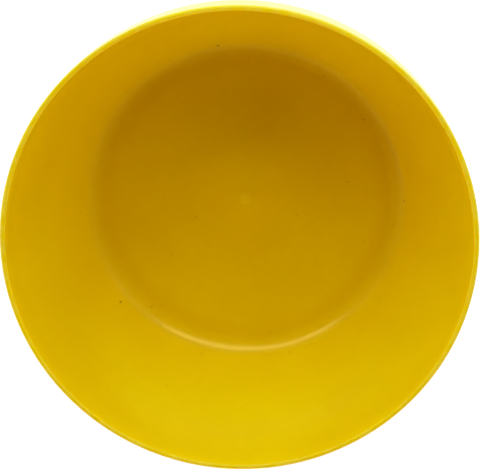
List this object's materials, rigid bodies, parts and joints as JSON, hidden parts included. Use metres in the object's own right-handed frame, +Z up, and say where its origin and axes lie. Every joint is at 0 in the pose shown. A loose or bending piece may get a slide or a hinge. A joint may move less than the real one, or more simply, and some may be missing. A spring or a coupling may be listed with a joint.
{
  "type": "eyewash bowl",
  "caption": "Round moulded plastic bowl, open at the top, with a flat floor, plain curved wall, thin rounded rim and low foot ring, of the kind that catches the water at an eyewash.",
  "frame": {"origin": "centre of the plane that the foot ring stands on", "axes": "+Z up along the bowl's axis, out of its mouth; the bowl is round, so X and Y are free"},
  "size_m": [0.28, 0.28, 0.1205],
  "materials": {
    "yellow_plastic": "satin"
  },
  "bodies": {
    "root": {"bowl": "yellow_plastic"}
  },
  "joints": []
}
